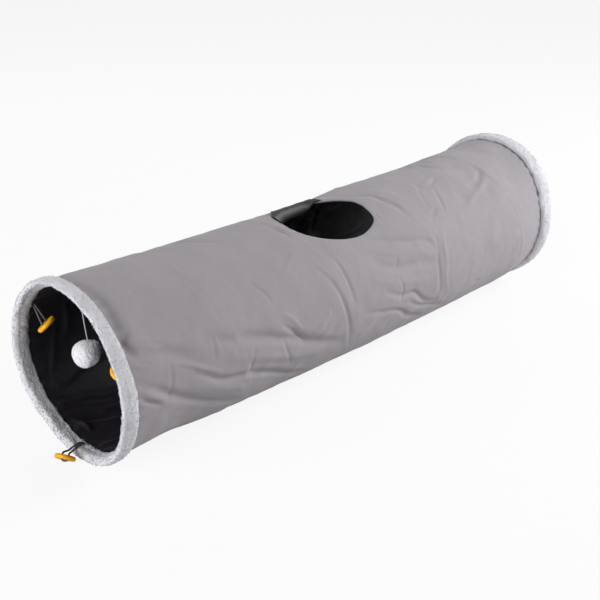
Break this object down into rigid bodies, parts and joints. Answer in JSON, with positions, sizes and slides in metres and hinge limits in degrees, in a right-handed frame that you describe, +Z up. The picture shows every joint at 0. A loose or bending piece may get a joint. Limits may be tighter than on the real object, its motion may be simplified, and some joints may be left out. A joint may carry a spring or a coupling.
{
  "type": "cat tunnel",
  "caption": "Collapsible round cat tunnel with a coiled spring wire between cover and lining, plush end bands, a peephole, a hanging ball and elastic toggles.",
  "frame": {"origin": "on the floor under the tunnel's middle, where the cover rests flat", "axes": "+X along the tunnel from the near mouth with the ball to the far mouth, +Y to the left seen from the near mouth looking in, +Z up"},
  "size_m": [0.9247, 0.249, 0.2483],
  "materials": {
    "suedette": "brushed suedette",
    "lining": "crisp woven lining",
    "plush": "short pile plush",
    "spring_steel": "drawn wire",
    "black_tape": "woven tape",
    "sleeve": "crimped",
    "toy_plush": "short pile plush",
    "white_string": "braided cord",
    "yellow_plastic": "moulded gloss",
    "black_elastic": "covered elastic cord"
  },
  "bodies": {
    "near_end": {"near_rim_plush": "plush", "outer_cover": "suedette", "inner_lining": "lining", "peephole_hem": "lining", "spring_wire": "spring_steel", "wire_channel_tape": "black_tape", "near_wire_sleeve": "sleeve"},
    "far_end": {"far_rim_plush": "plush", "far_wire_sleeve": "sleeve"},
    "ball_hanger": {"ball_knot": "white_string"},
    "ball": {"ball_string": "white_string", "toy_ball": "toy_plush"},
    "toggle_left": {"toggle_left_button": "yellow_plastic", "toggle_left_elastic": "black_elastic"},
    "toggle_right": {"toggle_right_button": "yellow_plastic", "toggle_right_elastic": "black_elastic"},
    "toggle_bottom": {"toggle_bottom_button": "yellow_plastic", "toggle_bottom_elastic": "black_elastic"},
    "loop_left": {"fold_loop_left": "black_tape"},
    "loop_right": {"fold_loop_right": "black_tape"},
    "loop_bottom": {"fold_loop_bottom": "black_tape"}
  },
  "joints": [
    {"name": "collapse", "type": "slide", "parent": "near_end", "child": "far_end", "axis": [-1, 0, 0], "range_m": [0, 0.815], "stiffness_N_per_m": 12, "springref_m": -0.15, "deforming": ["outer_cover", "inner_lining", "wire_channel_tape", "spring_wire", "peephole_hem"]},
    {"name": "ball_swing_along", "type": "hinge", "parent": "near_end", "child": "ball_hanger", "pos_m": [-0.422, -0.01, 0.23546], "axis": [0, 1, 0], "range_deg": [-40, 40]},
    {"name": "ball_swing_across", "type": "hinge", "parent": "ball_hanger", "child": "ball", "pos_m": [-0.422, -0.01, 0.23546], "axis": [1, 0, 0], "range_deg": [-25, 25]},
    {"name": "toggle_left_swing", "type": "hinge", "parent": "near_end", "child": "toggle_left", "pos_m": [-0.4255, 0.09496, 0.18547], "axis": [0, 0.5446, -0.8387], "range_deg": [-50, 50]},
    {"name": "toggle_right_swing", "type": "hinge", "parent": "near_end", "child": "toggle_right", "pos_m": [-0.4255, -0.10088, 0.1752], "axis": [0, 0.454, 0.891], "range_deg": [-50, 50]},
    {"name": "toggle_bottom_lift", "type": "hinge", "parent": "near_end", "child": "toggle_bottom", "pos_m": [-0.4255, 0.00593, 0.01073], "axis": [0, 1, 0], "range_deg": [0, 100]},
    {"name": "loop_left_swing", "type": "hinge", "parent": "far_end", "child": "loop_left", "pos_m": [0.4235, 0.09495, 0.18542], "axis": [0, -0.5446, 0.8387], "range_deg": [-60, 40]},
    {"name": "loop_right_swing", "type": "hinge", "parent": "far_end", "child": "loop_right", "pos_m": [0.4235, -0.10088, 0.17516], "axis": [0, -0.454, -0.891], "range_deg": [-60, 40]},
    {"name": "loop_bottom_lift", "type": "hinge", "parent": "far_end", "child": "loop_bottom", "pos_m": [0.4229, 0.00573, 0.01439], "axis": [0, 1, 0], "range_deg": [0, 90]}
  ]
}
